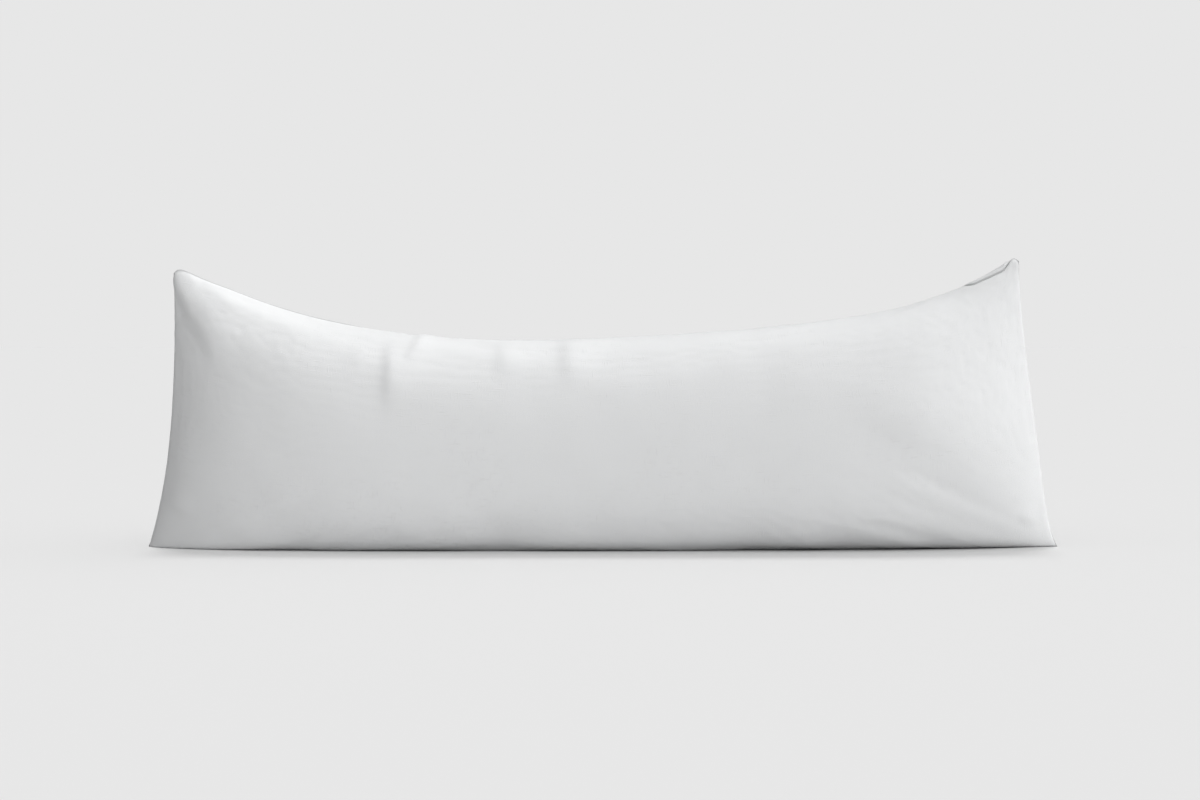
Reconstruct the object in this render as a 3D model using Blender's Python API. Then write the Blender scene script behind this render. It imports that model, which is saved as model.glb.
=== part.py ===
"""Body pillow: one long filled cushion that stands on its lower long edge.

Two equal cloth panels, front and back, are sewn together by one plain seam
round their four sides and stuffed.  Under its own weight the pillow spreads to
a flat base, its upper edge scoops down between two raised corners, and its
ends draw in between the corners, so it is one closed solid.

X runs along the length, Y through the thickness with the front panel towards
-Y, and Z up from the surface it stands on.  Lengths are metres.
"""

import math
from collections import namedtuple

import bmesh
import bpy

# Driving dimensions.
THICKNESS = 0.232          # front to back across the belly
WAIST_HEIGHT = 0.314       # crown above the base where the upper edge is lowest
WAIST_PLACE = 0.43         # where that is, as a share of the way from left to right
BELLY_HEIGHT = 0.135       # height of the widest point, away from the ends
BASE_DEPTH = 0.140         # front to back across the flat that touches the surface
SEAM_DIP = 0.010           # how far the upper seam sinks between the two crowns
SEAM_DIP_WIDTH = 0.026     # half width of that valley

# How quickly the stuffing fills out from a flat end seam.
END_FULLNESS = 5.0
END_ROUNDNESS = 1.3
END_BELLY_SHARE = 0.46     # height of the widest point at an end, as a share of the end
PANEL_ROUNDNESS = 2.15     # superellipse power of a full section above its widest point
FOOT_ROUNDNESS = 3.0       # the same below it, where the panel turns under more sharply
EDGE_ROUNDNESS = 1.62      # both close to an end seam, where the section is a lens

# The two ends.  foot_reach and top_reach are the lower and upper corner's distance from
# the middle, tip_height the upper corner's height.  The end seam curves out to its foot:
# sweep is the power of the curve and ear the share of it that flares in the last few
# millimetres.  The upper edge climbs to the corner: climb is the power of the curve,
# peak the share of the climb kept for the corner itself and peak_power its power.
# base_fullness and base_roundness shape how the flat base narrows towards the end, and
# belly_fullness how soon the widest point sinks to its height in the middle.
End = namedtuple(
    "End", "side foot_reach top_reach tip_height sweep ear climb peak peak_power"
           " base_fullness base_roundness belly_fullness")
LEFT = End(-1, 0.6725, 0.6335, 0.409, 3.2, 0.00, 2.50, 0.00, 1.0, 6.0, 1.45, 5.0)
RIGHT = End(1, 0.6725, 0.6140, 0.427, 1.3, 0.18, 1.50, 0.50, 7.5, 1.6, 1.00, 2.6)
EAR_POWER = 12.0

# The upper corners are blunt: the edge stops climbing a little before the end seam and
# rounds off over it.  Shares of the way from left to right, and a height.
TIP_FLAT = 0.008
TIP_ROUNDING = 0.0035
TIP_DROP = 0.005

# Facets.
STATIONS = 64              # sections from end to end
LOWER_STEPS = 8            # facets from the base up to the belly
UPPER_STEPS = 15           # facets from the belly up to the seam
END_CROWDING = 0.55        # how much closer together the sections stand near the ends


def mix(first, second, share):
    return first + (second - first) * share


def filled_out(along, power, roundness):
    """Rise from 0 at an end seam to 1 at the middle, steep first and then flat."""
    inward = 1.0 - abs(2.0 * along - 1.0)
    return (1.0 - (1.0 - inward) ** power) ** (1.0 / roundness)


def crown_height(along):
    """Height of the upper edge, lowest at the waist and highest at the corners."""
    if along < WAIST_PLACE:
        end = LEFT
        way = (WAIST_PLACE - along) / (WAIST_PLACE - TIP_FLAT)
    else:
        end = RIGHT
        way = (along - WAIST_PLACE) / (1.0 - WAIST_PLACE - TIP_FLAT)
    way = min(way, 1.0)
    climb = (1.0 - end.peak) * way ** end.climb + end.peak * way ** end.peak_power
    rounding = math.exp(-((min(along, 1.0 - along) / TIP_ROUNDING) ** 2))
    return mix(WAIST_HEIGHT, end.tip_height, climb) - TIP_DROP * rounding


def end_reach(end, level):
    """Distance of the end seam from the middle; level is 0 at the foot, 1 at the top."""
    fall = 1.0 - level
    flare = (1.0 - end.ear) * fall ** end.sweep + end.ear * fall ** EAR_POWER
    return end.side * mix(end.top_reach, end.foot_reach, flare)


def half_section(along):
    """Half of the section at one station: (depth, height) from the base to the seam."""
    end = LEFT if along < 0.5 else RIGHT
    fullness = filled_out(along, END_FULLNESS, END_ROUNDNESS)
    crown = crown_height(along)
    half_depth = THICKNESS / 2.0 * fullness
    base_half = BASE_DEPTH / 2.0 * filled_out(along, end.base_fullness, end.base_roundness)
    sinking = filled_out(along, end.belly_fullness, END_ROUNDNESS)
    belly = mix(END_BELLY_SHARE * crown, BELLY_HEIGHT, sinking)
    upper_power = 2.0 / mix(EDGE_ROUNDNESS, PANEL_ROUNDNESS, fullness)
    lower_power = 2.0 / mix(EDGE_ROUNDNESS, FOOT_ROUNDNESS, fullness)
    dip = SEAM_DIP * fullness ** 3

    section = []
    for step in range(LOWER_STEPS):
        angle = math.pi / 2.0 * (1.0 - step / LOWER_STEPS)
        depth = mix(base_half, half_depth, math.cos(angle) ** lower_power)
        section.append((depth, belly * (1.0 - math.sin(angle) ** lower_power)))
    for step in range(UPPER_STEPS + 1):
        angle = math.pi / 2.0 * step / UPPER_STEPS
        depth = half_depth * max(math.cos(angle), 0.0) ** upper_power
        if step == UPPER_STEPS:
            depth = 0.0
        height = mix(belly, crown, math.sin(angle) ** upper_power)
        valley = dip * math.exp(-((depth / SEAM_DIP_WIDTH) ** 2))
        section.append((depth, height - valley))
    return section


def place(along, depth, height, face):
    """Point of the front (face -1) or back (face 1) panel."""
    level = min(height / crown_height(along), 1.0)
    across = mix(end_reach(LEFT, level), end_reach(RIGHT, level), along)
    return (across, face * depth, height)


def station_places():
    """Shares of the length at which sections stand, closer together near the ends."""
    places = []
    for number in range(STATIONS + 1):
        even = number / STATIONS
        eased = (1.0 - math.cos(math.pi * even)) / 2.0
        places.append(mix(even, eased, END_CROWDING))
    return places


def facets(low_left, low_right, high_right, high_left, rising):
    """Two triangles; the line between them rises to the right or to the left."""
    if rising:
        return (low_left, low_right, high_right), (low_left, high_right, high_left)
    return (low_left, low_right, high_left), (low_right, high_right, high_left)


def pillow_mesh():
    """Both panels from end to end; the facets are split towards the nearer upper corner."""
    mesh = bpy.data.meshes.new("pillow")
    shape = bmesh.new()
    rings = []
    for along in station_places():
        section = half_section(along)
        seam = shape.verts.new(place(along, *section[-1], -1))
        ring = {}
        for face in (-1, 1):
            if along in (0.0, 1.0) and face == 1:
                ring[face] = ring[-1]
                continue
            row = [shape.verts.new(place(along, depth, height, face))
                   for depth, height in section[:-1]]
            ring[face] = row + [seam]
        rings.append(ring)

    for number, (left, right) in enumerate(zip(rings, rings[1:])):
        rising = number >= STATIONS // 2
        for low in range(LOWER_STEPS + UPPER_STEPS):
            for face in (-1, 1):
                corners = (left[face][low], right[face][low],
                           right[face][low + 1], left[face][low + 1])
                for facet in facets(*corners, rising):
                    shape.faces.new(facet[::-face])

    front_foot = [ring[-1][0] for ring in rings]
    back_foot = [ring[1][0] for ring in rings[1:-1]]
    base = shape.faces.new(back_foot + front_foot[::-1])
    bmesh.ops.triangulate(shape, faces=[base])
    bmesh.ops.recalc_face_normals(shape, faces=shape.faces[:])
    shape.to_mesh(mesh)
    shape.free()
    mesh.shade_smooth()
    mesh.set_sharp_from_angle(angle=math.radians(50.0))
    return mesh


def white_cloth():
    material = bpy.data.materials.new("white_cloth")
    material.use_nodes = True
    cloth = material.node_tree.nodes["Principled BSDF"]
    cloth.inputs["Base Color"].default_value = (0.79, 0.80, 0.80, 1.0)
    cloth.inputs["Roughness"].default_value = 0.9
    cloth.inputs["Metallic"].default_value = 0.0
    return material


def main():
    for thing in list(bpy.data.objects):
        bpy.data.objects.remove(thing, do_unlink=True)
    pillow = bpy.data.objects.new("pillow", pillow_mesh())
    pillow.data.materials.append(white_cloth())
    bpy.context.scene.collection.objects.link(pillow)


main()
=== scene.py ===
"""Body pillow: the looks of a long stuffed pillow that stands on its lower long edge.

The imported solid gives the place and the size.  The visible pillow is two cloth panels,
front and back, that share one plain seam.  They start from the solid's own rule of
sections, are let go as cloth under the push of the stuffing, and then get their folds,
puckers and sewn line.  Lengths are metres.  X runs along the pillow, the front panel
faces -Y and Z is up from the surface it stands on.
"""

import math
from collections import namedtuple

import bpy
import numpy as np
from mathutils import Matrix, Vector


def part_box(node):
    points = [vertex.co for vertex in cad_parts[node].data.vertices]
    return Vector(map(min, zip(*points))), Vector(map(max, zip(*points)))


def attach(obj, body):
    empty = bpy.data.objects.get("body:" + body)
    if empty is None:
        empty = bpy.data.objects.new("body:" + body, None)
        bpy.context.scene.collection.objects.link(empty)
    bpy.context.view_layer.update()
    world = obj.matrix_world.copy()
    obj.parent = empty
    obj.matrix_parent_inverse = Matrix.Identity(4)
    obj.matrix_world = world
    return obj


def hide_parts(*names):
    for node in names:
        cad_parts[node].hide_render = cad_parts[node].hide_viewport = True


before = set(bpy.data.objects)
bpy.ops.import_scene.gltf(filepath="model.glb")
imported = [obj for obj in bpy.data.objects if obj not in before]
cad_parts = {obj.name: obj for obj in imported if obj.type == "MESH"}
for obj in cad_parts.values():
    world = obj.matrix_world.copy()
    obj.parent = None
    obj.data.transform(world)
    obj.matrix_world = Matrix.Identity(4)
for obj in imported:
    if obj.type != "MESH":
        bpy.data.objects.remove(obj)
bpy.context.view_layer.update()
PILLOW_LOW, PILLOW_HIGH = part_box("pillow")

bl_info = {
    "name": "Body Pillow",
    "version": (1, 0, 0),
    "blender": (4, 5, 0),
    "location": "3D View > Sidebar > Pillow",
    "description": "Sews, stuffs and lights a long body pillow",
    "category": "Object",
}


# ---------------------------------------------------------------------------------------
# What a user would change
# ---------------------------------------------------------------------------------------

class PillowShape(bpy.types.PropertyGroup):
    """Sizes of the stuffed pillow."""

    length: bpy.props.FloatProperty(
        name="Length", description="Between the two lower corners",
        default=PILLOW_HIGH.x - PILLOW_LOW.x, min=0.3, unit="LENGTH")
    thickness: bpy.props.FloatProperty(
        name="Thickness", description="Front to back across the belly",
        default=PILLOW_HIGH.y - PILLOW_LOW.y, min=0.05, unit="LENGTH")
    right_height: bpy.props.FloatProperty(
        name="Right Corner", description="Height of the upper right corner",
        default=PILLOW_HIGH.z, min=0.1, unit="LENGTH")
    left_height: bpy.props.FloatProperty(
        name="Left Corner", description="Height of the upper left corner",
        default=0.409, min=0.1, unit="LENGTH")
    waist_height: bpy.props.FloatProperty(
        name="Waist", description="Height of the lowest place of the upper edge",
        default=0.314, min=0.1, unit="LENGTH")
    belly_height: bpy.props.FloatProperty(
        name="Belly", description="Height of the widest place",
        default=0.135, min=0.02, unit="LENGTH")
    base_depth: bpy.props.FloatProperty(
        name="Base", description="Depth of the flat that touches the surface",
        default=0.140, min=0.0, unit="LENGTH")


class PillowCloth(bpy.types.PropertyGroup):
    """The cover's cloth and how it is stuffed."""

    cover_length: bpy.props.FloatProperty(
        name="Cover Length", description="Length of a panel lying flat, seam to seam",
        default=1.372, min=0.3, unit="LENGTH")
    cover_width: bpy.props.FloatProperty(
        name="Cover Width", description="Width of a panel lying flat, seam to seam",
        default=0.457, min=0.1, unit="LENGTH")
    push: bpy.props.FloatProperty(
        name="Stuffing Push", description="Pressure of the stuffing on the cloth",
        default=5.0, min=0.0)
    looseness: bpy.props.FloatProperty(
        name="Looseness", description="How much of the flat panels' spare cloth is let in",
        default=0.08, min=0.0, max=1.0, subtype="FACTOR")
    most_move: bpy.props.FloatProperty(
        name="Furthest Move", description="Furthest that the cloth may leave its shape",
        default=0.005, min=0.0, unit="LENGTH")
    colour: bpy.props.FloatVectorProperty(
        name="Colour", description="Colour of the yarn", subtype="COLOR", size=3,
        default=(0.790, 0.797, 0.802), min=0.0, max=1.0)
    thread: bpy.props.FloatProperty(
        name="Thread", description="Distance from one thread to the next",
        default=0.0013, min=0.0002, unit="LENGTH")


class PillowStage(bpy.types.PropertyGroup):
    """Floor, light and camera."""

    backdrop: bpy.props.FloatProperty(
        name="Backdrop", description="Brightness of floor and background",
        default=0.799, min=0.0, max=1.0, subtype="FACTOR")
    dome: bpy.props.FloatProperty(
        name="Dome", description="Soft light from all round, strongest overhead",
        default=0.03, min=0.0)
    key: bpy.props.FloatProperty(
        name="Key Light", description="Soft light from the front and the right",
        default=0.56, min=0.0)
    side_light: bpy.props.FloatProperty(
        name="Side Light", description="Soft light on the right end",
        default=0.235, min=0.0)
    top_light: bpy.props.FloatProperty(
        name="Top Light", description="Soft light from above, a little behind and to the right",
        default=0.60, min=0.0)
    shadow: bpy.props.FloatProperty(
        name="Shadow", description="Share of the floor's light that casts the short shadow",
        default=0.25, min=0.0, max=1.0, subtype="FACTOR")
    camera_distance: bpy.props.FloatProperty(
        name="Camera Distance", description="From the camera to the pillow's middle",
        default=3.5, min=0.5, unit="LENGTH")
    camera_height: bpy.props.FloatProperty(
        name="Camera Height", description="Height of the camera above the floor",
        default=0.30, min=0.0, unit="LENGTH")


# ---------------------------------------------------------------------------------------
# The pillow's rule of sections, the same as the solid's but for the seam along the top
# ---------------------------------------------------------------------------------------

FRONT, BACK = -1, 1

WAIST_PLACE = 0.43         # where the upper edge is lowest, from 0 at the left to 1
END_FULLNESS, END_ROUNDNESS = 5.0, 1.3     # how quickly the stuffing fills out from an end
END_BELLY_SHARE = 0.46     # height of the widest place at an end, as a share of the end
SEAM_DIP, SEAM_DIP_WIDTH = 0.010, 0.026    # valley of the upper seam between the crowns

# Superellipse powers: above the widest place, below it, and both close to an end seam.
PANEL_ROUNDNESS, FOOT_ROUNDNESS, EDGE_ROUNDNESS = 2.15, 3.0, 1.62

# Towards the upper left corner the upper seam stays up on the ridge instead of sinking
# between the crowns.  RIDGE_ENDS are the shares of the length between which that changes.
# The ridge is lower there by a share of the dip, over about its half width.
RIDGE_ENDS = (0.19, 0.30)
RIDGE_SHARE, RIDGE_WIDTH = 0.74, 0.060

# The two ends.  The end seam curves out to its foot: sweep is the power of the curve and
# ear the share that flares only at the very corner.  The upper edge climbs to the corner:
# climb is the power, peak the share kept for the corner itself and peak_power its power.
# The rest is how the base and the widest place change towards the end.
EAR_POWER = 12.0
End = namedtuple("End", "side top_reach sweep ear climb peak peak_power"
                        " base_fullness base_roundness belly_fullness")
LEFT = End(-1, 0.6335, 3.2, 0.00, 2.50, 0.00, 1.0, 6.0, 1.45, 5.0)
RIGHT = End(1, 0.6140, 1.3, 0.18, 1.50, 0.50, 7.5, 1.6, 1.00, 2.6)

# The upper corners are blunt: shares of the length, and a height.
TIP_FLAT, TIP_ROUNDING, TIP_DROP = 0.008, 0.0035, 0.005

# Points of half a section before it is spread evenly: of each quarter and of the foot.
QUARTER_POINTS, FOOT_POINTS = 160, 24

# Near the upper right corner the upper seam lies on the front slope instead of on the
# ridge: start and end are shares of the length, far is how far in front of the ridge it
# gets, and ease the share of the stretch over which it gets there and back.
Lean = namedtuple("Lean", "start end far ease")
SEAM_LEAN = Lean(0.932, 0.992, 0.0110, 0.2)


def mix(first, second, share):
    return first + (second - first) * share


def smooth_step(low, high, value):
    way = np.clip((value - low) / (high - low), 0.0, 1.0)
    return way * way * (3.0 - 2.0 * way)


def filled_out(along, power, roundness):
    """Rise from 0 at an end seam to 1 at the middle, steep first and then flat."""
    inward = 1.0 - abs(2.0 * along - 1.0)
    return (1.0 - (1.0 - inward) ** power) ** (1.0 / roundness)


def crown_height(shape, along):
    """Height of the upper edge, lowest at the waist and highest at the corners."""
    if along < WAIST_PLACE:
        end, tip = LEFT, shape.left_height
        way = (WAIST_PLACE - along) / (WAIST_PLACE - TIP_FLAT)
    else:
        end, tip = RIGHT, shape.right_height
        way = (along - WAIST_PLACE) / (1.0 - WAIST_PLACE - TIP_FLAT)
    way = min(way, 1.0)
    climb = (1.0 - end.peak) * way ** end.climb + end.peak * way ** end.peak_power
    rounding = math.exp(-((min(along, 1.0 - along) / TIP_ROUNDING) ** 2))
    return mix(shape.waist_height, tip, climb) - TIP_DROP * rounding


def end_reach(shape, end, level):
    """Distance of the end seam from the middle; level is 0 at the foot, 1 at the top."""
    fall = 1.0 - level
    flare = (1.0 - end.ear) * fall ** end.sweep + end.ear * fall ** EAR_POWER
    return end.side * mix(end.top_reach, shape.length / 2.0, flare)


def seam_lean(along):
    """How far in front of the ridge the upper seam lies."""
    start, end, far, ease = SEAM_LEAN
    stretch = ease * (end - start)
    there = smooth_step(start, start + stretch, along)
    back_again = smooth_step(end - stretch, end, along)
    return float(far * there * (1.0 - back_again))


# Where the front panel tucks in under the pillow: a place along it, half the width of the
# tuck and how much farther in the cloth meets the surface there.
Tuck = namedtuple("Tuck", "along wide deep")
FRONT_TUCKS = (
    Tuck(-0.447, 0.045, 0.010),
    Tuck(-0.155, 0.045, 0.010),
    Tuck(0.205, 0.060, 0.012),
    Tuck(0.340, 0.060, 0.008),
    Tuck(0.485, 0.035, 0.006),
)


def tucked_in(shape, along, face):
    """How much farther in a panel meets the surface."""
    if face == BACK:
        return 0.0
    middle_distance = (along - 0.5) * shape.length
    return sum(tuck.deep * math.exp(-(((middle_distance - tuck.along) / tuck.wide) ** 2))
               for tuck in FRONT_TUCKS)


def half_section(shape, along, face):
    """Half a section, from the lower seam to the ridge: rows of depth and height."""
    end = LEFT if along < 0.5 else RIGHT
    fullness = filled_out(along, END_FULLNESS, END_ROUNDNESS)
    crown = crown_height(shape, along)
    half_depth = shape.thickness / 2.0 * fullness
    base_half = shape.base_depth / 2.0 * filled_out(
        along, end.base_fullness, end.base_roundness)
    base_half = max(base_half - tucked_in(shape, along, face), base_half / 2.0)
    sinking = filled_out(along, end.belly_fullness, END_ROUNDNESS)
    belly = mix(END_BELLY_SHARE * crown, shape.belly_height, sinking)
    upper_power = 2.0 / mix(EDGE_ROUNDNESS, PANEL_ROUNDNESS, fullness)
    lower_power = 2.0 / mix(EDGE_ROUNDNESS, FOOT_ROUNDNESS, fullness)
    dip = SEAM_DIP * fullness ** 3

    angle = np.linspace(0.0, math.pi / 2.0, QUARTER_POINTS)
    sine, cosine = np.sin(angle), np.clip(np.cos(angle), 0.0, 1.0)
    cosine[-1] = 0.0
    foot = np.stack([np.linspace(0.0, base_half, FOOT_POINTS), np.zeros(FOOT_POINTS)], 1)
    lower = np.stack([mix(base_half, half_depth, cosine ** lower_power),
                      belly * (1.0 - sine ** lower_power)], 1)[::-1]
    upper = np.stack([half_depth * cosine ** upper_power,
                      mix(belly, crown, sine ** upper_power)], 1)
    valley = np.exp(-((upper[:, 0] / SEAM_DIP_WIDTH) ** 2))
    ridge = RIDGE_SHARE * np.exp(-((upper[:, 0] / RIDGE_WIDTH) ** 2))
    upper[:, 1] -= dip * mix(ridge, valley, smooth_step(*RIDGE_ENDS, along))
    return np.concatenate([foot[:-1], lower[:-1], upper])


def spread_evenly(points, count, length):
    """count + 1 points along a line of points, evenly spaced up to that length."""
    steps = np.hypot(*np.diff(points, axis=0).T)
    travelled = np.concatenate([[0.0], np.cumsum(steps)])
    wanted = np.linspace(0.0, length, count + 1)
    return np.stack([np.interp(wanted, travelled, column) for column in points.T], 1)


def panel_grid(shape, face, along_cells, across_cells):
    """One panel as a grid of points: first along the pillow, then from seam to seam."""
    grid = np.zeros((along_cells + 1, across_cells + 1, 3))
    for row, along in enumerate(np.linspace(0.0, 1.0, along_cells + 1)):
        half = half_section(shape, along, face)
        mirrored = half[-2::-1] * (-1.0, 1.0)
        whole = np.concatenate([half, mirrored])
        girth = np.hypot(*np.diff(half, axis=0).T).sum()
        points = spread_evenly(whole, across_cells, girth + face * seam_lean(along))
        level = np.clip(points[:, 1] / crown_height(shape, along), 0.0, 1.0)
        left, right = end_reach(shape, LEFT, level), end_reach(shape, RIGHT, level)
        grid[row, :, 0] = mix(left, right, along)
        grid[row, :, 1] = face * points[:, 0]
        grid[row, :, 2] = points[:, 1]
    return grid


# ---------------------------------------------------------------------------------------
# Two panels sewn along their edges
# ---------------------------------------------------------------------------------------

class Sewn:
    """Numbers the points of two equal grids that share their outer rows."""

    def __init__(self, along_cells, across_cells):
        count = (along_cells + 1) * (across_cells + 1)
        inner = (along_cells - 1) * (across_cells - 1)
        self.front = np.arange(count).reshape(along_cells + 1, across_cells + 1)
        self.back = self.front.copy()
        self.back[1:-1, 1:-1] = np.arange(count, count + inner).reshape(
            along_cells - 1, across_cells - 1)
        self.size = count + inner
        back_faces = self.quads(self.back)[:, (0, 3, 2, 1)]
        self.faces = np.concatenate([self.quads(self.front), back_faces])

    @staticmethod
    def quads(grid):
        """Faces of a grid; the first and third corner lie on a line to the nearest corner."""
        corners = (grid[:-1, :-1], grid[1:, :-1], grid[1:, 1:], grid[:-1, 1:])
        faces = np.stack(corners, -1)
        columns, rows = np.indices(faces.shape[:2])
        left, low = columns < faces.shape[0] // 2, rows < faces.shape[1] // 2
        turned = np.roll(faces, -1, axis=-1)
        return np.where((left != low)[..., None], turned, faces).reshape(-1, 4)

    def join(self, front, back):
        """One list of points from the two grids; along the seam they meet halfway."""
        total = np.zeros((self.size, front.shape[-1]))
        shares = np.zeros((self.size, 1))
        for numbers, values in ((self.front, front), (self.back, back)):
            np.add.at(total, numbers, values)
            np.add.at(shares, numbers, 1.0)
        return total / shares

    def split(self, points):
        return points[self.front], points[self.back]


def new_mesh(name, points, faces):
    mesh = bpy.data.meshes.new(name)
    mesh.from_pydata(points.tolist(), [], faces.tolist())
    mesh.update()
    return mesh


def flat_panel(grid, cloth):
    """Where the panel's points lie on the flat cloth, spare cloth let in as asked."""
    along_steps = np.linalg.norm(np.diff(grid, axis=0), axis=2)
    across_steps = np.linalg.norm(np.diff(grid, axis=1), axis=2)
    fitted_along = np.zeros(grid.shape[:2])
    fitted_along[1:] = np.cumsum(along_steps, axis=0)
    fitted_across = np.zeros(grid.shape[:2])
    fitted_across[:, 1:] = np.cumsum(across_steps, axis=1)
    waist = int(WAIST_PLACE * (grid.shape[0] - 1))
    cut_along = np.linspace(0.0, cloth.cover_length, grid.shape[0])[:, None]
    cut_across = np.linspace(0.0, cloth.cover_width, grid.shape[1])[None, :]
    flat = np.zeros(grid.shape)
    flat[..., 0] = mix(fitted_along - fitted_along[waist], cut_along - cut_along[waist],
                       cloth.looseness)
    flat[..., 2] = mix(fitted_across, cut_across, cloth.looseness)
    return flat


CLOTH_CELLS = (200, 66)    # grid of the panels while they are simulated
CLOTH_FRAMES = 20
FLAT_GAP = 0.002           # between the two panels lying flat
PILLOW_MASS = 2.0          # kilograms
CLOTH_SETTINGS = {
    "quality": 6,
    "tension_stiffness": 15.0,
    "compression_stiffness": 15.0,
    "shear_stiffness": 5.0,
    "bending_stiffness": 0.5,
    "tension_damping": 8.0,
    "compression_damping": 8.0,
    "shear_damping": 6.0,
    "bending_damping": 1.0,
    "air_damping": 2.0,
    "pin_stiffness": 1.0,
    "use_pressure": True,
}
TOUCHING = 0.0001          # a point this low rests on the surface
STILL_CORNER = 0.32        # the cloth keeps its shape the more, the nearer a lower corner


def let_go(context, shape, cloth):
    """Both panels, pushed out by the stuffing and held by their seam and the surface."""
    sewn = Sewn(*CLOTH_CELLS)
    front = panel_grid(shape, FRONT, *CLOTH_CELLS)
    back = panel_grid(shape, BACK, *CLOTH_CELLS)
    start = sewn.join(front, back)

    gap = np.array((0.0, FLAT_GAP / 2.0, 0.0))
    flat = sewn.join(flat_panel(front, cloth) - gap, flat_panel(back, cloth) + gap)
    trial = bpy.data.objects.new("cloth_trial", new_mesh("cloth_trial", start, sewn.faces))
    context.scene.collection.objects.link(trial)
    trial.shape_key_add(name="Basis")
    cut = trial.shape_key_add(name="Cut")
    cut.data.foreach_set("co", flat.ravel())
    cut.value = 0.0

    edge = np.concatenate([sewn.front[0], sewn.front[-1], sewn.front[:, -1]])
    low = np.nonzero(start[:, 2] < TOUCHING)[0]
    held = trial.vertex_groups.new(name="held")
    held.add(np.unique(np.concatenate([edge, low])).tolist(), 1.0, "REPLACE")

    modifier = trial.modifiers.new("stuffing", "CLOTH")
    settings = modifier.settings
    for name, value in CLOTH_SETTINGS.items():
        setattr(settings, name, value)
    settings.mass = PILLOW_MASS / sewn.size
    settings.effector_weights.gravity = 0.0
    settings.uniform_pressure_force = cloth.push
    settings.rest_shape_key = cut
    settings.vertex_group_mass = held.name
    modifier.collision_settings.use_collision = False
    modifier.point_cache.frame_start = 1
    modifier.point_cache.frame_end = CLOTH_FRAMES
    for number in range(1, CLOTH_FRAMES + 1):
        context.scene.frame_set(number)

    settled = trial.evaluated_get(context.evaluated_depsgraph_get()).to_mesh()
    points = np.empty(sewn.size * 3)
    settled.vertices.foreach_get("co", points)
    points = points.reshape(-1, 3)
    bpy.data.objects.remove(trial, do_unlink=True)
    context.scene.frame_set(1)

    move = points - start
    far = np.linalg.norm(move, axis=1, keepdims=True)
    limit = cloth.most_move
    from_corner = np.hypot(shape.length / 2.0 - np.abs(start[:, :1]), start[:, 2:])
    move *= smooth_step(0.0, STILL_CORNER, from_corner)
    move *= limit * np.tanh(far / limit) / np.maximum(far, 1e-9)
    points = start + move
    points[:, 2] = np.maximum(points[:, 2], 0.0)
    return sewn.split(points)


# ---------------------------------------------------------------------------------------
# Finer grids, folds, puckers and the seam
# ---------------------------------------------------------------------------------------

FINE_CELLS = (300, 96)      # grid of the finished panels
SEAM_ROWS = (0.0, 0.0011, 0.0024, 0.0042, 0.0068)   # first rows beside a seam, in metres


def crowded(cells, length, first, last):
    """Places from 0 to 1, with the fine rows at whichever ends have a seam in sight."""
    rows = np.array(SEAM_ROWS) / length
    start = rows if first else rows[:1]
    stop = 1.0 - rows[::-1] if last else 1.0 - rows[:1]
    between = cells + 2 - len(start) - len(stop)
    spread = np.linspace(start[-1], stop[0], between + 1)[1:-1]
    return np.concatenate([start, spread, stop])


def curve_through(values, places):
    """Values on even places along the first axis, read at other places by a cubic."""
    last = values.shape[0] - 1
    where = np.clip(places * last, 0.0, last)
    first = np.minimum(where.astype(int), last - 1)
    way = (where - first).reshape((-1,) + (1,) * (values.ndim - 1))
    before = values[np.maximum(first - 1, 0)]
    here, there = values[first], values[first + 1]
    after = values[np.minimum(first + 2, last)]
    slope_here, slope_there = (there - before) / 2.0, (after - here) / 2.0
    return ((2 * way ** 3 - 3 * way ** 2 + 1) * here + (way ** 3 - 2 * way ** 2 + way) * slope_here
            + (3 * way ** 2 - 2 * way ** 3) * there + (way ** 3 - way ** 2) * slope_there)


def refined(grid, along_places, across_places):
    finer = curve_through(grid, along_places)
    finer = curve_through(finer.swapaxes(0, 1), across_places)
    return finer.swapaxes(0, 1)


def outward(grid, face):
    """Unit normals of a panel's grid."""
    along = np.gradient(grid, axis=0)
    across = np.gradient(grid, axis=1)
    normal = np.cross(along, across) * -face
    return normal / np.maximum(np.linalg.norm(normal, axis=2, keepdims=True), 1e-12)


def travelled(grid, axis):
    """Length of cloth from the first row to each point, and from each to the last."""
    steps = np.linalg.norm(np.diff(grid, axis=axis), axis=2)
    way = np.zeros(grid.shape[:2])
    way[(slice(None),) * axis + (slice(1, None),)] = np.cumsum(steps, axis=axis)
    total = way[-1:] if axis == 0 else way[:, -1:]
    return way, total - way


NOISE_CELLS = 256          # after which the noise repeats


def soft_noise(first, second, first_cell, second_cell, seed):
    """Even random swell from -1 to 1 over two coordinates, with cells of those sizes."""
    table = np.random.default_rng(seed).uniform(-1.0, 1.0, (NOISE_CELLS, NOISE_CELLS))
    x, y = first / first_cell, second / second_cell
    column, row = np.floor(x).astype(int), np.floor(y).astype(int)
    way_x, way_y = smooth_step(0.0, 1.0, x - column), smooth_step(0.0, 1.0, y - row)
    column, row = column % NOISE_CELLS, row % NOISE_CELLS
    next_column, next_row = (column + 1) % NOISE_CELLS, (row + 1) % NOISE_CELLS
    low = mix(table[column, row], table[next_column, row], way_x)
    high = mix(table[column, next_row], table[next_column, next_row], way_x)
    return mix(low, high, way_y)


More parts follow.
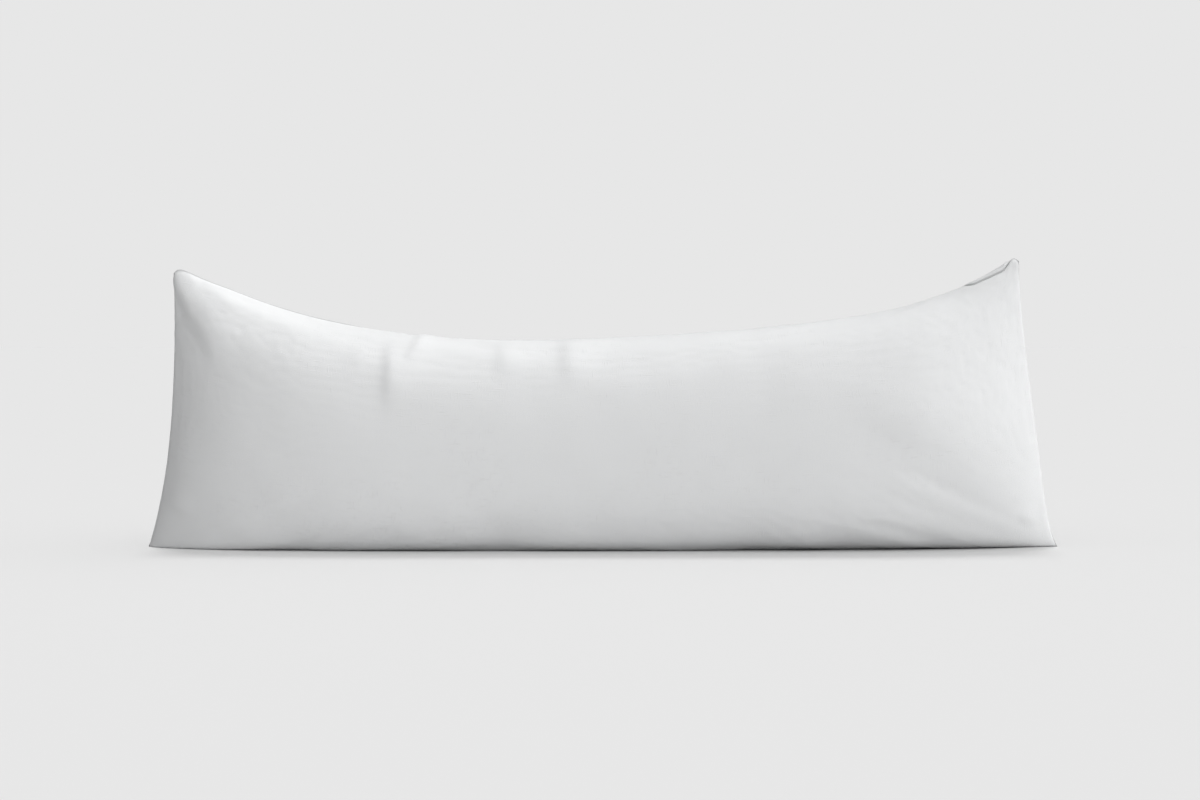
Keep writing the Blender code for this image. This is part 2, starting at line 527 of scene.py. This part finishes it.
# Folds of the front panel, as seen from the front: each runs from one place to another
# (along the pillow, height).  The cloth rises by high over about twice wide, to the right
# of a fold that runs down or above one that runs across, and sinks back gently behind it.
Fold = namedtuple("Fold", "along_1 height_1 along_2 height_2 wide high")
FRONT_FOLDS = (
    # below the waist of the upper edge
    Fold(-0.316, 0.304, -0.311, 0.202, 0.0085, 0.0044),
    Fold(-0.262, 0.330, -0.290, 0.268, 0.0060, 0.0028),
    Fold(-0.366, 0.305, -0.362, 0.259, 0.0090, 0.0016),
    Fold(-0.155, 0.306, -0.145, 0.248, 0.0085, 0.0022),
    Fold(-0.060, 0.312, -0.056, 0.236, 0.0105, 0.0036),
    # the ridge that runs in from the upper left corner
    Fold(-0.639, 0.405, -0.606, 0.335, 0.0065, 0.0080),
    Fold(-0.618, 0.360, -0.556, 0.262, 0.0130, 0.0080),
    # fine wrinkles below the upper right corner
    Fold(0.556, 0.398, 0.603, 0.400, 0.0016, 0.0006),
    Fold(0.544, 0.388, 0.600, 0.389, 0.0018, 0.0007),
    Fold(0.550, 0.378, 0.606, 0.377, 0.0018, 0.0007),
    Fold(0.560, 0.368, 0.604, 0.365, 0.0018, 0.0006),
    # puckers just above the surface
    Fold(0.240, 0.040, 0.300, 0.008, 0.0040, 0.0012),
    Fold(0.222, 0.034, 0.268, 0.007, 0.0035, 0.0009),
    Fold(-0.240, 0.036, -0.168, 0.012, 0.0040, 0.0010),
    Fold(-0.300, 0.030, -0.250, 0.008, 0.0040, 0.0008),
    # the two lower corners
    Fold(-0.648, 0.066, -0.600, 0.050, 0.0060, 0.0026),
    Fold(0.606, 0.044, 0.634, 0.034, 0.0045, 0.0026),
    # the broad swell that runs down to the lower right corner
    Fold(0.350, 0.215, 0.628, 0.030, 0.0320, 0.0105),
)
FOLD_STEEPNESS = 2.2       # of the rising side
FOLD_FALL = 4.0            # how far the gentle side reaches, in steps of wide
FOLD_GROWS = (-0.10, 0.35)     # shares of a fold's length over which it grows
FOLD_DIES = (0.50, 1.15)       # and over which it dies away


def fold_height(fold, along, height):
    """How far a fold moves the cloth outward."""
    start = np.array((fold.along_1, fold.height_1))
    run = np.array((fold.along_2, fold.height_2)) - start
    length = np.linalg.norm(run)
    run /= length
    way = ((along - start[0]) * run[0] + (height - start[1]) * run[1]) / length
    aside = ((height - start[1]) * run[0] - (along - start[0]) * run[1]) / fold.wide
    taper = smooth_step(*FOLD_GROWS, way) * (1.0 - smooth_step(*FOLD_DIES, way))
    rise = 0.5 + 0.5 * np.tanh(aside * FOLD_STEEPNESS / 2.0)
    fall = np.exp(-((np.maximum(aside, 0.0) / FOLD_FALL) ** 2))
    return fold.high * taper * rise * fall


SEAM_NOTCH = 0.0020        # depth of the sewn line
SEAM_RIB = 0.0016          # its rise where it runs on the ridge
SEAM_LINE_WIDTH = 0.0016
SEAM_PUFF = 0.0009         # rise of the cloth beside it
SEAM_PUFF_WIDTH = 0.0075
PUCKER_DEPTH = 0.0008
PUCKER_REACH = 0.022       # how far puckers run into the panel
PUCKER_CELL = (0.011, 0.05)    # spacing along the seam and length of the puckers
PUCKER_PATCH = (0.09, 0.2)     # stretches where they are weaker and stronger
WEAKEST_PUCKERS = 0.4      # share of the full depth
LUMP_HEIGHT = 0.0009       # unevenness of the stuffing
LARGE_LUMPS = (0.11, 0.08)     # along and across
SMALL_LUMPS = (0.045, 0.04)
SMALL_LUMP_SHARE = 0.5
LUMPS_START = 0.06         # how far from the end seams the lumps reach their full height
OFF_SURFACE = 0.012        # height by which folds and lumps have grown from the surface
SEEDS = {FRONT: 10, BACK: 50}  # of each panel's random swells


def seam_relief(distance, course, rise, seed):
    """Sewn line, puff and puckers beside a seam at that distance; course runs along it."""
    line = rise * np.exp(-((distance / SEAM_LINE_WIDTH) ** 2))
    puff = SEAM_PUFF * np.exp(-(((distance - SEAM_PUFF_WIDTH) / SEAM_PUFF_WIDTH) ** 2))
    swell = soft_noise(course, distance, *PUCKER_CELL, seed)
    patches = np.abs(soft_noise(course, distance, *PUCKER_PATCH, seed + 1))
    strength = mix(WEAKEST_PUCKERS, 1.0, patches)
    puckers = PUCKER_DEPTH * swell * strength * np.exp(-distance / PUCKER_REACH)
    away_from_seam = 1.0 - np.exp(-((distance / SEAM_PUFF_WIDTH) ** 2))
    return line + puff + puckers * away_from_seam


def finished_panel(grid, face):
    """The panel with its folds, lumps and seam, and each point's distance to the seam."""
    from_left, from_right = travelled(grid, 0)
    from_foot, from_top = travelled(grid, 1)
    normal = outward(grid, face)
    seed = SEEDS[face]

    relief = np.zeros(grid.shape[:2])
    if face == FRONT:
        for fold in FRONT_FOLDS:
            relief += fold_height(fold, grid[..., 0], grid[..., 2])
    lumps = soft_noise(from_left, from_foot, *LARGE_LUMPS, seed)
    lumps += SMALL_LUMP_SHARE * soft_noise(from_left, from_foot, *SMALL_LUMPS, seed + 1)
    from_end = np.minimum(from_left, from_right)
    relief += LUMP_HEIGHT * lumps * smooth_step(0.0, LUMPS_START, from_end)
    top_line = mix(SEAM_RIB, -SEAM_NOTCH,
                   smooth_step(*RIDGE_ENDS, from_left / (from_left + from_right)))
    relief += seam_relief(from_top, from_left, top_line, seed + 2)
    relief += seam_relief(from_left, from_foot, -SEAM_NOTCH, seed + 4)
    relief += seam_relief(from_right, from_foot, -SEAM_NOTCH, seed + 6)

    off_surface = smooth_step(0.0, OFF_SURFACE, grid[..., 2])
    moved = grid + normal * (relief * off_surface)[..., None]
    moved[..., 2] = np.maximum(moved[..., 2], 0.0)
    return moved, np.minimum(from_end, from_top)


def cloth_places(grid, face, cloth):
    """Each point's place on the cloth in metres; the panels lie apart on one map."""
    from_left, from_right = travelled(grid, 0)
    from_foot, from_top = travelled(grid, 1)
    along = from_left / (from_left + from_right) * cloth.cover_length
    across = from_foot / (from_foot + from_top) * cloth.cover_width
    if face == BACK:
        along = 2.0 * cloth.cover_length - along
    return np.stack([along, across], -1)


def pillow_object(context, shape, cloth):
    """The whole pillow as one closed mesh with its cloth map."""
    coarse_front, coarse_back = let_go(context, shape, cloth)
    along = crowded(FINE_CELLS[0], shape.length, True, True)
    across = crowded(FINE_CELLS[1], cloth.cover_width, False, True)
    sewn = Sewn(*FINE_CELLS)
    grids, distances, places = [], [], []
    for face, coarse in ((FRONT, coarse_front), (BACK, coarse_back)):
        grid = refined(coarse, along, across)
        grid, distance = finished_panel(grid, face)
        grids.append(grid)
        distances.append(distance[..., None])
        places.append(cloth_places(grid, face, cloth))

    mesh = new_mesh("stuffed_pillow", sewn.join(*grids), sewn.faces)
    mesh.shade_smooth()

    corner_places = []
    panels = zip((sewn.front, sewn.back), places, np.split(sewn.faces, 2))
    for numbers, on_cloth, faces in panels:
        place_of = np.zeros((sewn.size, 2))
        place_of[numbers] = on_cloth
        corner_places.append(place_of[faces.ravel()])
    mesh.uv_layers.new(name="cloth").data.foreach_set(
        "uv", np.concatenate(corner_places).ravel())
    distance = mesh.attributes.new("seam_distance", "FLOAT", "POINT")
    distance.data.foreach_set("value", sewn.join(*distances).ravel().astype(np.float32))
    pillow = bpy.data.objects.new("stuffed_pillow", mesh)
    context.scene.collection.objects.link(pillow)
    return pillow


# ---------------------------------------------------------------------------------------
# Cloth material
# ---------------------------------------------------------------------------------------

class Value:
    """A socket with arithmetic: each sum or product adds its Math node."""

    def __init__(self, nodes, socket):
        self.nodes = nodes
        self.socket = socket

    def output(self, name):
        return Value(self.nodes, self.socket.node.outputs[name])

    def math(self, operation, *others):
        return self.nodes.add("ShaderNodeMath", {"operation": operation},
                              {number: term for number, term in enumerate((self, *others))})

    def __add__(self, other):
        return self.math("ADD", other)

    def __sub__(self, other):
        return self.math("SUBTRACT", other)

    def __rsub__(self, other):
        return self.nodes.add("ShaderNodeMath", {"operation": "SUBTRACT"}, {0: other, 1: self})

    def __mul__(self, other):
        return self.math("MULTIPLY", other)

    def __truediv__(self, other):
        return self.math("DIVIDE", other)

    def __rtruediv__(self, other):
        return self.nodes.add("ShaderNodeMath", {"operation": "DIVIDE"}, {0: other, 1: self})

    __radd__ = __add__
    __rmul__ = __mul__


class Nodes:
    """A node tree and one way to add to it."""

    def __init__(self, tree):
        self.tree = tree

    def add(self, kind, settings=None, inputs=None, output=0):
        node = self.tree.nodes.new(kind)
        for name, value in (settings or {}).items():
            setattr(node, name, value)
        for name, value in (inputs or {}).items():
            if isinstance(value, Value):
                self.tree.links.new(value.socket, node.inputs[name])
            else:
                node.inputs[name].default_value = value
        return Value(self, node.outputs[output])


# Slubs are rare thick stretches of yarn: how long and wide one is, how rare they are (the
# value that a noise has to pass) and which part of the noise they take.
Slubs = namedtuple("Slubs", "length width rarity shift")
WEFT_SLUBS = Slubs(0.020, 0.0016, 0.63, 3.7)
WARP_SLUBS = Slubs(0.016, 0.0016, 0.61, 8.1)
SLUB_EDGE = 0.14           # how softly a slub begins and ends
SLUB_HEIGHT = 0.00020
SLUB_SHADE = 0.35

# Clouds are soft uneven patches: their size, detail and part of the noise.
Clouds = namedtuple("Clouds", "size detail shift")
SLUBBY_PATCHES = Clouds(0.16, 1.0, 5.2)
PATCH_EDGES = (0.38, 0.62)     # of the noise, from few slubs to many
FEW_SLUBS = 0.25
UNEVEN_DYE = Clouds(0.11, 3.0, 1.3)
DYE_SHADE = 0.4

# Along every seam the cloth is painted darker. This is partly thread and dirt and partly painted
# shade in the sewn groove. It fades out between these two distances, and the third shade below is
# its colour.
SEAM_DARKENING_EDGES = (0.5, 2.0)  # in widths of the sewn line
WEAVE_HEIGHT = 0.00006
DARKER, LIGHTER, SEAM_DIRT_AND_SHADE = 0.955, 1.02, 0.68   # shades of the colour


def shaded(colour, share):
    """The colour, darker or lighter, with the fourth value that a socket wants."""
    return tuple(min(channel * share, 1.0) for channel in colour) + (1.0,)


def white_cloth(cloth):
    """Plain-woven white cloth with slubs in both directions, painted darker along its seams for
    thread, dirt and the shade of the sewn groove.
    """
    material = bpy.data.materials.new("white_cloth")
    material.use_nodes = True
    nodes = Nodes(material.node_tree)
    surface = material.node_tree.nodes["Principled BSDF"]
    surface.inputs["Roughness"].default_value = 0.92
    surface.inputs["Specular IOR Level"].default_value = 0.2
    surface.inputs["Sheen Weight"].default_value = 0.08
    surface.inputs["Sheen Roughness"].default_value = 0.4

    cloth_map = nodes.add("ShaderNodeUVMap", {"uv_map": "cloth"})
    along = nodes.add("ShaderNodeSeparateXYZ", {}, {"Vector": cloth_map})
    across = along.output("Y")

    def slubs(long_way, thread_way, kind):
        """A noise drawn out along the thread, of which only the peaks are kept."""
        place = nodes.add("ShaderNodeCombineXYZ", {}, {
            "X": long_way / kind.length, "Y": thread_way / kind.width, "Z": kind.shift})
        noise = nodes.add("ShaderNodeTexNoise", {"noise_dimensions": "3D"}, {
            "Vector": place, "Scale": 1.0, "Detail": 1.0, "Roughness": 0.5})
        return nodes.add("ShaderNodeMapRange", {"interpolation_type": "SMOOTHSTEP"}, {
            "Value": noise, "From Min": kind.rarity, "From Max": kind.rarity + SLUB_EDGE})

    def clouds(kind):
        """A soft noise with patches of that size."""
        place = nodes.add("ShaderNodeCombineXYZ", {}, {
            "X": along / kind.size, "Y": across / kind.size, "Z": kind.shift})
        return nodes.add("ShaderNodeTexNoise", {"noise_dimensions": "3D"}, {
            "Vector": place, "Scale": 1.0, "Detail": kind.detail, "Roughness": 0.55})

    slubby = nodes.add("ShaderNodeMapRange", {"interpolation_type": "SMOOTHSTEP"}, {
        "Value": clouds(SLUBBY_PATCHES), "From Min": PATCH_EDGES[0],
        "From Max": PATCH_EDGES[1], "To Min": FEW_SLUBS, "To Max": 1.0})
    weft_slubs = slubs(along, across, WEFT_SLUBS) * slubby
    warp_slubs = slubs(across, along, WARP_SLUBS) * slubby

    turn = 2.0 * math.pi / cloth.thread
    weft = (across * turn).math("SINE")
    warp = (along * turn).math("SINE")
    weave = weft * warp * 0.5 + (weft + warp) * 0.25

    # Painted shade along the seams: the colour darkens within a few millimetres of every seam,
    # partly for thread and dirt and partly as the shade of the sewn groove.
    seam_distance = nodes.add("ShaderNodeAttribute", {"attribute_name": "seam_distance"},
                              output="Fac")
    seam_dirt_and_shade = nodes.add("ShaderNodeMapRange", {"interpolation_type": "SMOOTHSTEP"}, {
        "Value": seam_distance, "From Min": SEAM_LINE_WIDTH * SEAM_DARKENING_EDGES[0],
        "From Max": SEAM_LINE_WIDTH * SEAM_DARKENING_EDGES[1], "To Min": 1.0, "To Max": 0.0})

    all_slubs = weft_slubs + warp_slubs
    shade = all_slubs * SLUB_SHADE + (clouds(UNEVEN_DYE) - 0.5) * DYE_SHADE
    yarn = nodes.add("ShaderNodeMix", {"data_type": "RGBA"}, {
        "Factor": shade, "A": shaded(cloth.colour, LIGHTER),
        "B": shaded(cloth.colour, DARKER)}, output=2)
    yarn_with_seam_shade = nodes.add("ShaderNodeMix", {"data_type": "RGBA"}, {
        "Factor": seam_dirt_and_shade, "A": yarn, "B": shaded(cloth.colour, SEAM_DIRT_AND_SHADE)}, output=2)
    material.node_tree.links.new(yarn_with_seam_shade.socket, surface.inputs["Base Color"])

    height = weave * WEAVE_HEIGHT + all_slubs * SLUB_HEIGHT
    bump = nodes.add("ShaderNodeBump", {}, {
        "Height": height, "Strength": 1.0, "Distance": 1.0})
    material.node_tree.links.new(bump.socket, surface.inputs["Normal"])
    return material


# ---------------------------------------------------------------------------------------
# Operators, one for the pillow and one for the stage
# ---------------------------------------------------------------------------------------

class PILLOW_OT_sew_and_stuff(bpy.types.Operator):
    """Sew the two panels, stuff them and give them their cloth"""

    bl_idname = "pillow.sew_and_stuff"
    bl_label = "Sew and Stuff the Pillow"

    def execute(self, context):
        bpy.ops.object.select_all(action="DESELECT")
        shape, cloth = context.scene.pillow_shape, context.scene.pillow_cloth
        pillow = pillow_object(context, shape, cloth)
        pillow.data.materials.append(white_cloth(cloth))
        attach(pillow, "root")
        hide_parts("pillow")
        return {"FINISHED"}


FLOOR_SIZE = 400.0
FLOOR_GREY = 0.8
DOME_ON_FLOOR = 2.0 / 3.0  # what a dome that grows with height gives to a level floor
AIM_HEIGHT = 0.217         # the camera looks at this place on the pillow's middle plane
AIM_ALONG = -0.0044
VIEW_WIDTH = 1.7736        # seen across at the pillow

# Soft lamps: turn is degrees to the right of the camera's side, rise degrees above the
# floor, spread the width of the lamp in degrees and lit the only thing that it lights.
# The pillow's lamps leave the floor alone, so that it stays as pale as the background.
# The floor's two lamps stand overhead and behind; the second casts the short shadow.
Lamp = namedtuple("Lamp", "name turn rise spread lit")
SHADOW_RISE = 69.0
LAMPS = (
    Lamp("key", 34.0, 30.0, 40.0, "stuffed_pillow"),
    Lamp("side_light", 110.0, 45.0, 35.0, "stuffed_pillow"),
    Lamp("top_light", 120.0, 72.0, 40.0, "stuffed_pillow"),
    Lamp("floor_light", 0.0, 90.0, 150.0, "floor"),
    Lamp("shadow_light", 180.0, SHADOW_RISE, 16.0, "floor"),
)


class PILLOW_OT_set_stage(bpy.types.Operator):
    """Lay the pale floor, set the soft light and place the camera"""

    bl_idname = "pillow.set_stage"
    bl_label = "Set the Stage"

    def execute(self, context):
        stage = context.scene.pillow_stage
        context.scene.view_settings.view_transform = "Standard"
        self.floor(context)
        self.dome(context, stage)
        floor_light = stage.backdrop / FLOOR_GREY - stage.dome * DOME_ON_FLOOR
        strengths = {
            "key": stage.key,
            "side_light": stage.side_light,
            "top_light": stage.top_light,
            "floor_light": floor_light * (1.0 - stage.shadow),
            "shadow_light": floor_light * stage.shadow / math.sin(math.radians(SHADOW_RISE)),
        }
        for lamp in LAMPS:
            self.soft_lamp(context, lamp, strengths[lamp.name])
        self.camera(context, stage)
        return {"FINISHED"}

    def floor(self, context):
        bpy.ops.mesh.primitive_plane_add(size=FLOOR_SIZE, location=(0.0, 0.0, 0.0))
        floor = context.object
        floor.name = "floor"
        paint = bpy.data.materials.new("pale_floor")
        paint.use_nodes = True
        surface = paint.node_tree.nodes["Principled BSDF"]
        surface.inputs["Base Color"].default_value = (FLOOR_GREY, FLOOR_GREY, FLOOR_GREY, 1.0)
        surface.inputs["Roughness"].default_value = 1.0
        surface.inputs["Specular IOR Level"].default_value = 0.0
        floor.data.materials.append(paint)

    def dome(self, context, stage):
        """Light that grows with height; where it is seen it is as pale as the floor."""
        world = bpy.data.worlds.new("studio")
        context.scene.world = world
        world.use_nodes = True
        nodes = Nodes(world.node_tree)
        direction = nodes.add("ShaderNodeTexCoord", output=0)
        up = nodes.add("ShaderNodeSeparateXYZ", {}, {"Vector": direction}).output("Z")
        glow = (up * stage.dome).math("MAXIMUM", 0.0)
        seen = nodes.add("ShaderNodeLightPath", output=0)
        strength = glow + seen * (stage.backdrop - glow)
        background = world.node_tree.nodes["Background"]
        background.inputs["Color"].default_value = (1.0, 1.0, 1.0, 1.0)
        world.node_tree.links.new(strength.socket, background.inputs["Strength"])

    def soft_lamp(self, context, lamp, strength):
        """A far soft lamp; strength is how bright white cloth gets that faces it."""
        turn, rise = math.radians(lamp.turn), math.radians(lamp.rise)
        towards = Vector((math.sin(turn) * math.cos(rise), -math.cos(turn) * math.cos(rise),
                          math.sin(rise)))
        light = bpy.data.lights.new(lamp.name, "SUN")
        light.energy = math.pi * strength
        light.angle = math.radians(lamp.spread)
        holder = bpy.data.objects.new(lamp.name, light)
        holder.rotation_mode = "QUATERNION"
        holder.rotation_quaternion = towards.to_track_quat("Z", "Y")
        context.scene.collection.objects.link(holder)
        lit = bpy.data.collections.new(lamp.name + "_lights")
        lit.objects.link(bpy.data.objects[lamp.lit])
        holder.light_linking.receiver_collection = lit

    def camera(self, context, stage):
        eye = Vector((AIM_ALONG, -stage.camera_distance, stage.camera_height))
        aim = Vector((AIM_ALONG, 0.0, AIM_HEIGHT))
        view = bpy.data.cameras.new("camera")
        view.sensor_width = 36.0
        view.lens = view.sensor_width * (aim - eye).length / VIEW_WIDTH
        camera = bpy.data.objects.new("camera", view)
        camera.location = eye
        camera.rotation_mode = "QUATERNION"
        camera.rotation_quaternion = (aim - eye).to_track_quat("-Z", "Y")
        context.scene.collection.objects.link(camera)
        context.scene.camera = camera


class PILLOW_PT_sidebar(bpy.types.Panel):
    """The pillow's tools and sizes"""

    bl_idname = "PILLOW_PT_sidebar"
    bl_label = "Body Pillow"
    bl_space_type = "VIEW_3D"
    bl_region_type = "UI"
    bl_category = "Pillow"

    def draw(self, context):
        layout = self.layout
        for operator in OPERATORS:
            layout.operator(operator.bl_idname)
        for group in GROUPS:
            settings = getattr(context.scene, group)
            for name in GROUPS[group].__annotations__:
                layout.prop(settings, name)


GROUPS = {
    "pillow_shape": PillowShape,
    "pillow_cloth": PillowCloth,
    "pillow_stage": PillowStage,
}
OPERATORS = (PILLOW_OT_sew_and_stuff, PILLOW_OT_set_stage)
CLASSES = (*GROUPS.values(), *OPERATORS, PILLOW_PT_sidebar)


def register():
    for kind in CLASSES:
        bpy.utils.register_class(kind)
    for name, group in GROUPS.items():
        setattr(bpy.types.Scene, name, bpy.props.PointerProperty(type=group))


def unregister():
    for name in GROUPS:
        delattr(bpy.types.Scene, name)
    for kind in reversed(CLASSES):
        bpy.utils.unregister_class(kind)


def main():
    register()
    bpy.ops.pillow.sew_and_stuff()
    bpy.ops.pillow.set_stage()


if __name__ == "__main__":
    main()
